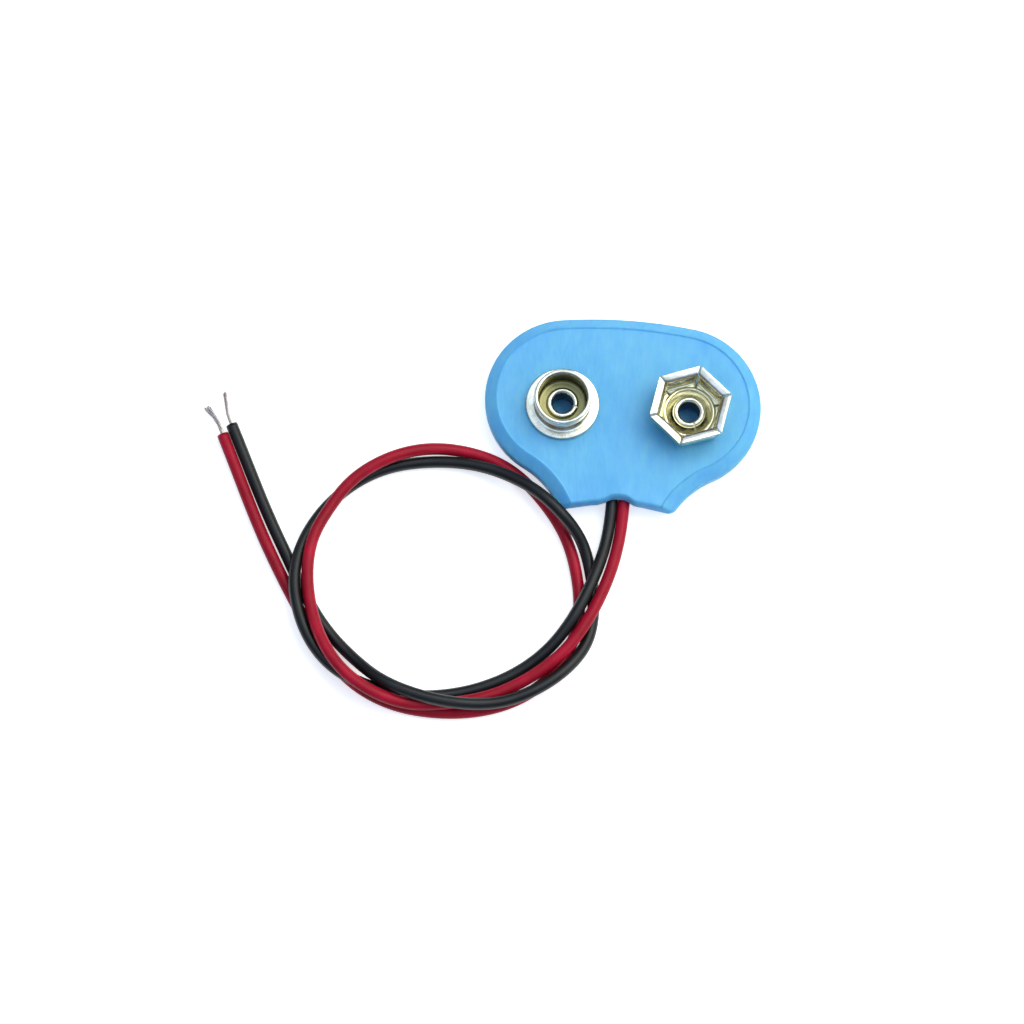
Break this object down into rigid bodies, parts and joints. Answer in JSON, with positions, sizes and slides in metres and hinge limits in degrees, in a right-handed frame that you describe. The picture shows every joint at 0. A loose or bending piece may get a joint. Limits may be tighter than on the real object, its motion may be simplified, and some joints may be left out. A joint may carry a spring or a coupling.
{
  "type": "battery snap connector",
  "caption": "Snap connector for a 9 V battery: flat vinyl pouch with a riveted stud and a flared spring socket, insulated leads coiled in a loose loop with bare ends",
  "frame": {"origin": "on the flat back of the rear cover, under the midpoint between the two contacts", "axes": "+X towards the socket, +Y away from the lead exit, +Z out of the contact face, millimetres in the source and metres here"},
  "size_m": [0.0561, 0.042, 0.0061],
  "materials": {
    "vinyl": "soft moulded vinyl, satin, sky blue, fine mould texture",
    "fibre": "punched fibre board, matte brown",
    "nickel": "drawn sheet metal with bright nickel plating",
    "solder": "reflowed solder, dull silver",
    "black_insulation": "extruded flexible insulation, soft gloss, black",
    "red_insulation": "extruded flexible insulation, soft gloss, red",
    "tinned_copper": "twisted tinned copper strands"
  },
  "bodies": {
    "root": {"front_cover": "vinyl", "rear_cover": "vinyl", "contact_plate": "fibre", "stud_contact": "nickel", "stud_eyelet": "nickel", "stud_solder_tag": "nickel", "stud_solder_joint": "solder", "socket_contact": "nickel", "socket_eyelet": "nickel", "socket_solder_tag": "nickel", "socket_solder_joint": "solder", "black_lead": "black_insulation", "black_strands": "tinned_copper", "red_lead": "red_insulation", "red_strands": "tinned_copper"}
  },
  "joints": []
}
